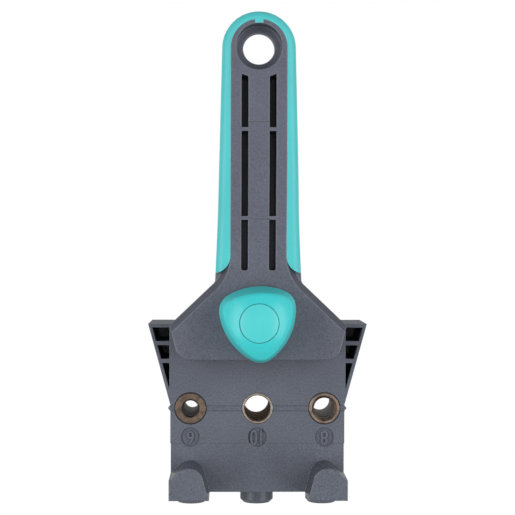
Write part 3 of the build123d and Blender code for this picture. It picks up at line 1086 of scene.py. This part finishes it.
@dataclass
class SizeNumerals:
    """The bore sizes, raised in the round recesses under the bushes and read from the handle's side.

    figure_share is the height of a figure as a share of its font's size.
    """

    finish: MouldedFinish
    figures: tuple[Numeral, ...] = (Numeral("6", "bush_6"), Numeral("10", "bush_10", 5.9 * MM, 0.72),
                                    Numeral("8", "bush_8"))
    recess_floor: float = 29.3 * MM
    raised: float = 0.6 * MM
    bevel: float = 0.1 * MM
    bevel_steps: int = 2
    centre_y: float = RECESS_Y
    figure_share: float = 0.7
    spacing: float = 0.95

    def build(self, effects: Effects) -> None:
        """Builds one numeral for each bush.

        Args:
            effects: The shared node groups.
        """
        finish = self.finish.build(effects)
        for figure in self.figures:
            curve = bpy.data.curves.new(f"numeral_{figure.words}", "FONT")
            curve.body = figure.words
            curve.size = figure.height / self.figure_share
            curve.align_x = "CENTER"
            curve.align_y = "CENTER"
            curve.extrude = self.raised / 2 - self.bevel
            curve.bevel_depth = self.bevel
            curve.bevel_resolution = self.bevel_steps
            curve.space_character = self.spacing
            text = bpy.data.objects.new(curve.name, curve)
            bpy.context.scene.collection.objects.link(text)
            place = Vector((centre_of(figure.bush).x, self.centre_y, self.recess_floor + self.raised / 2))
            narrow = Matrix.Scale(figure.narrow, 4, Vector((1, 0, 0)))
            text.matrix_world = Matrix.Translation(place) @ Matrix.Rotation(math.pi, 4, "Z") @ narrow
            piece = plain_copy(text, f"size_{figure.words}")
            dress(piece, finish)
            settle(piece, Body.HEAD)


@dataclass
class Mouldings:
    """The grey head and handle and the soft band, whose solids are kept and get their finishes."""

    finishes: tuple[tuple[str, MouldedFinish], ...]

    def build(self, frame: dict, effects: Effects) -> None:
        """Dresses the mouldings.

        Args:
            frame: The loaded frame.
            effects: The shared node groups.
        """
        for node, finish in self.finishes:
            keep(frame, node, finish.build(effects))


@dataclass
class ClampHardware:
    """The plated bolt, plate, washer and nut of the clamp."""

    nodes: tuple[str, ...] = ("clamp_bolt", "clamp_plate", "thrust_washer", "knob_nut")
    colour: Colour = (0.62, 0.63, 0.65)
    stain: Colour = (0.5, 0.51, 0.54)
    roughness: float = 0.32
    metallic: float = 1.0

    def build(self, frame: dict, effects: Effects) -> None:
        """Dresses the clamp's steel pieces.

        Args:
            frame: The loaded frame.
            effects: The shared node groups.
        """
        for node in self.nodes:
            middle = centre_of(node)
            finish = TurnedFinish(f"zinc of {node}", (middle.x, middle.y), self.colour, self.stain,
                                  roughness=self.roughness, metallic=self.metallic)
            keep(frame, node, finish.build(effects))


@dataclass
class Studio:
    """The plain white floor, the soft lights and the camera of the photograph."""

    eye: tuple[float, float, float] = (-10.9 * MM, 62.8 * MM, 550.0 * MM)
    target: tuple[float, float, float] = (-0.12 * MM, 58.57 * MM, 30.0 * MM)
    focal_pixels: float = 1341.0
    roll: float = 0.00227
    picture_pixels: float = 515.0
    sensor: float = 36.0
    floor_side: float = 6.0
    floor_tone: float = 0.95
    floor_roughness: float = 0.9
    white: float = 1.0
    mirrored_white: float = 0.5
    side_place: tuple[float, float, float] = (0.475, 0.06, 0.465)
    side_width: float = 0.22
    side_length: float = 0.8
    side_power: float = 3.78
    top_height: float = 1.0
    top_width: float = 0.25
    top_power: float = 0.35
    ambient: float = 0.25

    def camera(self) -> None:
        """Makes the camera, with its top edge towards +Y."""
        data = bpy.data.cameras.new("camera")
        data.sensor_width = self.sensor
        data.lens = self.focal_pixels / self.picture_pixels * self.sensor
        camera = bpy.data.objects.new("camera", data)
        bpy.context.scene.collection.objects.link(camera)
        back = (Vector(self.eye) - Vector(self.target)).normalized()
        right = Vector((0, 1, 0)).cross(back).normalized()
        up = back.cross(right)
        turn = Matrix((right, up, back)).transposed().to_4x4() @ Matrix.Rotation(self.roll, 4, "Z")
        camera.matrix_world = Matrix.Translation(self.eye) @ turn
        bpy.context.scene.camera = camera

    def floor(self) -> None:
        """Makes the floor, white to the camera and dimmer in mirror-like reflections."""
        half = self.floor_side / 2
        points = [(-half, -half, 0), (half, -half, 0), (half, half, 0), (-half, half, 0)]
        mesh = bpy.data.meshes.new("floor")
        mesh.from_pydata(points, [], [(0, 1, 2, 3)])
        floor = bpy.data.objects.new("floor", mesh)
        bpy.context.scene.collection.objects.link(floor)
        material, board, shader = start_material("white floor")
        shader.inputs["Base Color"].default_value = (self.floor_tone, self.floor_tone, self.floor_tone, 1)
        shader.inputs["Roughness"].default_value = self.floor_roughness
        ray = board.add("ShaderNodeLightPath")
        direct = board.field(ray.outputs["Is Camera Ray"])
        strength = direct * (self.white - self.mirrored_white) + self.mirrored_white
        glow = board.call("ShaderNodeEmission", {"Color": (1, 1, 1, 1), "Strength": strength})
        seen = direct.math("MAXIMUM", ray.outputs["Is Glossy Ray"])
        mixed = board.call("ShaderNodeMixShader", {0: seen, 1: shader.outputs[0], 2: glow.outputs[0]})
        board.feed(mixed.outputs[0], material.node_tree.nodes["Material Output"].inputs["Surface"])
        mesh.materials.append(material)

    def light(self, name: str, place: Vector, aim: Vector, width: float, length: float,
              power: float) -> None:
        """Makes a soft light with its length along the handle.

        Args:
            name: Its name.
            place: Where it stands.
            aim: What it points at.
            width: Its width.
            length: Its length.
            power: Its power in watts.
        """
        data = bpy.data.lights.new(name, "AREA")
        data.shape = "RECTANGLE"
        data.size = width
        data.size_y = length
        data.energy = power
        lamp = bpy.data.objects.new(name, data)
        bpy.context.scene.collection.objects.link(lamp)
        lamp.location = place
        lamp.rotation_mode = "QUATERNION"
        back = (place - aim).normalized()
        across = Vector((0, 1, 0)).cross(back).normalized()
        lamp.rotation_quaternion = Matrix((across, back.cross(across), back)).transposed().to_quaternion()

    def build(self) -> None:
        """Builds the studio and sets how light becomes the picture."""
        self.camera()
        self.floor()
        aim = Vector(self.target)
        for name, side in (("left_softbox", -1), ("right_softbox", 1)):
            place = Vector((side * self.side_place[0], *self.side_place[1:]))
            below = Vector((0, place.y, 0))
            self.light(name, place, below, self.side_width, self.side_length, self.side_power)
        above = aim + Vector((0, 0, self.top_height))
        self.light("top_softbox", above, aim, self.top_width, self.top_width, self.top_power)
        world = bpy.data.worlds.new("studio")
        bpy.context.scene.world = world
        world.use_nodes = True
        background = world.node_tree.nodes["Background"]
        background.inputs["Color"].default_value = (1, 1, 1, 1)
        background.inputs["Strength"].default_value = self.ambient
        bpy.context.scene.view_settings.view_transform = "Standard"


GREY_FIGURES = MouldedFinish("grained grey of the figures", colour=(0.086, 0.095, 0.122),
                             edge_highlight_colour=(0.16, 0.172, 0.205), roughness=0.46, grain_depth=0.02 * MM,
                             grain=1700.0, speck=1.5)
# The head's finish paints shade into its recess floors, its groove and the feet's steep walls; the handle's
# paints shade onto its steep bevels.
GREY_HEAD = replace(GREY_FIGURES, name="grained grey of the head",
                    recesses=tuple((side * BUSH_SPACING, RECESS_Y) for side in (-1, 0, 1)),
                    groove_half=1.05 * MM, smooth_from=30.2 * MM)
GREY_HANDLE = replace(GREY_FIGURES, name="grained grey of the handle", colour=(0.088, 0.095, 0.125),
                      smooth_from=39.0 * MM, smooth_tilt=0.85, smooth_side=60.0 * MM,
                      smooth_end=-60.0 * MM, steep_wall_painted_shade=0.28, smooth_gloss=0.1,
                      edge_radius=0.8 * MM, edge_highlight_share=0.6, edge_highlight_reach=0.1)
SOFT_TURQUOISE = MouldedFinish("soft turquoise rubber", colour=(0.06, 0.462, 0.472),
                               edge_highlight_colour=(0.3, 0.72, 0.72), roughness=0.52, grain_depth=0.012 * MM,
                               tone_low=0.97, tone_high=1.03, speck=0.1, edge_highlight_share=0.7)
KNOB_TURQUOISE = MouldedFinish("turquoise knob plastic", colour=(0.042, 0.515, 0.528),
                               edge_highlight_colour=(0.25, 0.62, 0.64), roughness=0.36, grain_depth=0.006 * MM,
                               tone_low=0.98, tone_high=1.02, speck=0.06, edge_radius=0.25 * MM,
                               specular=0.32)
# The cap's finish is the knob's plastic painted lighter, a painted highlight on the flat cap.
LIT_CAP_TURQUOISE = replace(KNOB_TURQUOISE, name="turquoise cap plastic painted lighter", colour=(0.072, 0.53, 0.535))


def main() -> None:
    """Builds the pieces in order and reports what was made."""
    logging.basicConfig(level=logging.INFO, format="%(name)s: %(message)s")
    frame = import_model()
    effects = Effects()
    Mouldings((("drill_head", GREY_HEAD), ("handle_body", GREY_HANDLE),
               ("soft_grip", SOFT_TURQUOISE))).build(frame, effects)
    DrillBushes().build(effects)
    SizeNumerals(GREY_FIGURES).build(effects)
    ClampHardware().build(frame, effects)
    ClampKnob(KNOB_TURQUOISE, LIT_CAP_TURQUOISE).build(frame, effects)
    Studio().build()


if __name__ == "__main__":
    main()
